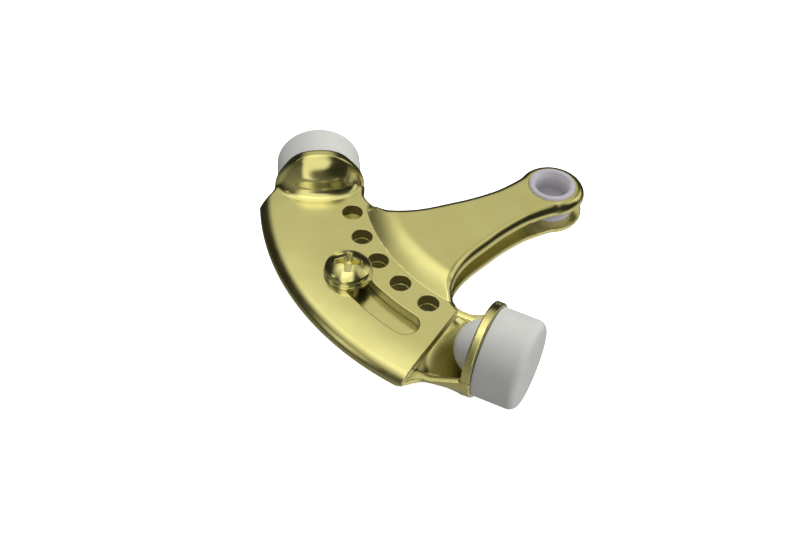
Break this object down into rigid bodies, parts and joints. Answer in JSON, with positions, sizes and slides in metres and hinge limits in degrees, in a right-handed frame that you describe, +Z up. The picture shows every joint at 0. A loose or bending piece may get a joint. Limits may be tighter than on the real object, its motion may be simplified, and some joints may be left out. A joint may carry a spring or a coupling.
{
  "type": "adjustable hinge-pin door stop",
  "caption": "Adjustable hinge-pin door stop: stacked formed brass leaves turn about nylon-bushed eyes, lock with a pan-head screw in an arc slot, and carry rubber bumpers in ring collars.",
  "frame": {"origin": "on the hinge-pin axis, halfway between the two leaves", "axes": "+Z up along the hinge pin, +X from the pin towards the middle of the arc-shaped band, +Y towards the bumper of the lower leaf"},
  "size_m": [0.0674, 0.0776, 0.0186],
  "materials": {
    "polished_brass": "polished, bright plated, slightly green yellow",
    "screw_brass": "polished, bright plated",
    "nylon": "satin natural nylon",
    "grey_rubber": "smooth moulded, satin"
  },
  "bodies": {
    "lower_leaf": {"lower_leaf": "polished_brass", "lower_bush": "nylon", "lower_bumper": "grey_rubber"},
    "upper_leaf": {"upper_leaf": "polished_brass", "upper_bush": "nylon", "upper_bumper": "grey_rubber"},
    "washer": {"clamp_washer": "screw_brass"},
    "screw": {"clamp_screw": "screw_brass"}
  },
  "joints": [
    {"name": "leaf_adjust", "type": "hinge", "parent": "lower_leaf", "child": "upper_leaf", "pos_m": [0, 0, 0], "axis": [0, 0, 1], "range_deg": [-19.4, 0]},
    {"name": "screw_lift", "type": "slide", "parent": "lower_leaf", "child": "washer", "axis": [0, 0, 1], "range_m": [0, 0.00159]},
    {"name": "screw_turn", "type": "hinge", "parent": "washer", "child": "screw", "pos_m": [0.04889, -0.00111, 0.0022], "axis": [0, 0, 1], "range_deg": [0, 721]}
  ],
  "couplings": [
    {"joint": "screw_turn", "follows": "screw_lift", "rad_per_m": 7913.2}
  ]
}
